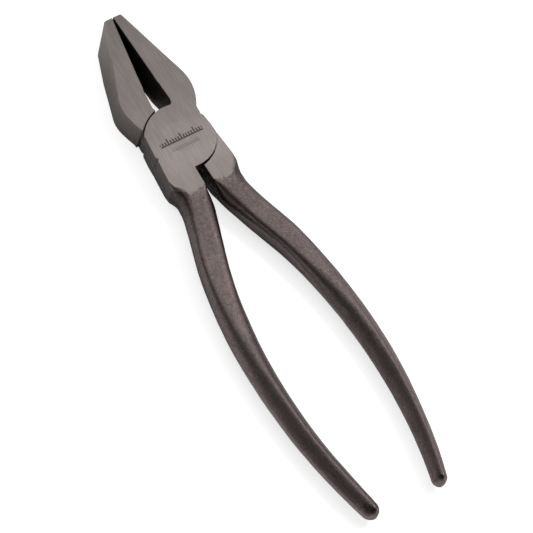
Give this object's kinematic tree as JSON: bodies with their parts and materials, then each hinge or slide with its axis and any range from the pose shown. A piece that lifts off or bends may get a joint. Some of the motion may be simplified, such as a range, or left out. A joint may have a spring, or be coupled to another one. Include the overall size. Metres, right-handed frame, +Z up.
{
  "type": "lineman pliers",
  "caption": "Bare forged-steel side-cutting pliers: a tapered flat-ground head, side cutters behind the nose and long bowed handles that turn on a flush rivet.",
  "frame": {"origin": "on the pivot axis, in the plane of the head's underside, at the centre of the rivet's flush head", "axes": "+Z up along the pivot axis, +Y from the pivot towards the nose, +X to the right seen from above"},
  "size_m": [0.048, 0.2001, 0.0109],
  "materials": {
    "forged_steel": "dark forged steel with a fine scale texture on the handles and a satin ground head",
    "ground_steel": "satin ground rivet head"
  },
  "bodies": {
    "upper_half": {"upper_half": "forged_steel", "pivot_rivet": "ground_steel"},
    "lower_half": {"lower_half": "forged_steel"}
  },
  "joints": [
    {"name": "pivot", "type": "hinge", "parent": "upper_half", "child": "lower_half", "pos_m": [0, 0, 0.00545], "axis": [0, 0, 1], "range_deg": [0, 45]}
  ]
}
